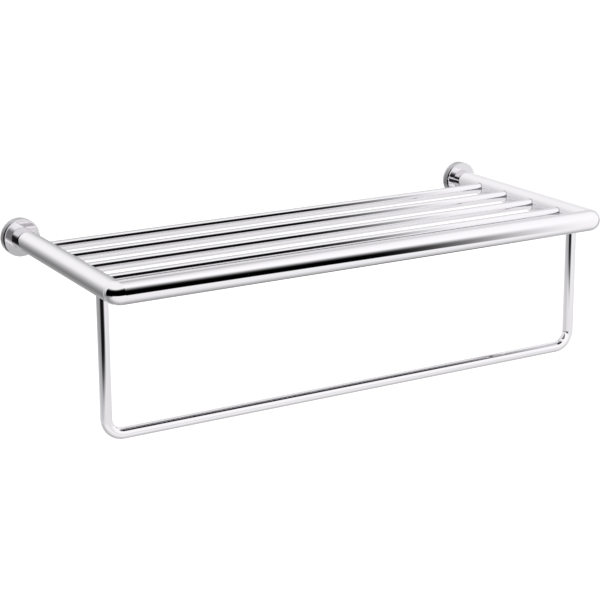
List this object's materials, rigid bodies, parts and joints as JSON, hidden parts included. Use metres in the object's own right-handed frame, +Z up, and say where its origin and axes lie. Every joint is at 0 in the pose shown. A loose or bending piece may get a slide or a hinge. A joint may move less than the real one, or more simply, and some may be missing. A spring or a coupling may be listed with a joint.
{
  "type": "towel rack",
  "caption": "Wall-mounted chrome towel rack: a tube-framed shelf of slim round rails on two round wall flanges, with a U-bent towel bar hung below.",
  "frame": {"origin": "on the wall plane, midway between the two wall plates, at the height of the arm axes", "axes": "+X along the rails to the right arm, +Y into the wall, +Z up; the rack reaches out along -Y"},
  "size_m": [0.6182, 0.2727, 0.182],
  "materials": {
    "chrome_frame": "mirror-polished chrome plate on round tube",
    "chrome_rails": "mirror-polished chrome plate on slim tube",
    "chrome_covers": "mirror-polished chrome plate on a turned cover",
    "zinc_plated_steel": "satin zinc plate",
    "fixing_steel": "plain stainless",
    "turned_brass": "turned, unplated"
  },
  "bodies": {
    "wall_plates": {"left_wall_plate": "zinc_plated_steel", "right_wall_plate": "zinc_plated_steel"},
    "rack": {"left_flange_cover": "chrome_covers", "left_flange_bolt": "fixing_steel", "left_spring_washer": "fixing_steel", "left_arm_end_plug": "turned_brass", "left_arm": "chrome_frame", "right_flange_cover": "chrome_covers", "right_flange_bolt": "fixing_steel", "right_spring_washer": "fixing_steel", "right_arm_end_plug": "turned_brass", "right_arm": "chrome_frame", "front_tube": "chrome_frame", "shelf_rail_1": "chrome_rails", "shelf_rail_2": "chrome_rails", "shelf_rail_3": "chrome_rails", "shelf_rail_4": "chrome_rails", "towel_bar": "chrome_rails"},
    "left_screw": {"left_set_screw": "fixing_steel"},
    "right_screw": {"right_set_screw": "fixing_steel"}
  },
  "joints": [
    {"name": "rack_off_wall_plates", "type": "slide", "parent": "wall_plates", "child": "rack", "axis": [0, -1, 0], "range_m": [0, 0.025]},
    {"name": "left_set_screw_out", "type": "slide", "parent": "rack", "child": "left_screw", "axis": [0, 0, -1], "range_m": [0, 0.002]},
    {"name": "right_set_screw_out", "type": "slide", "parent": "rack", "child": "right_screw", "axis": [0, 0, -1], "range_m": [0, 0.002]}
  ]
}
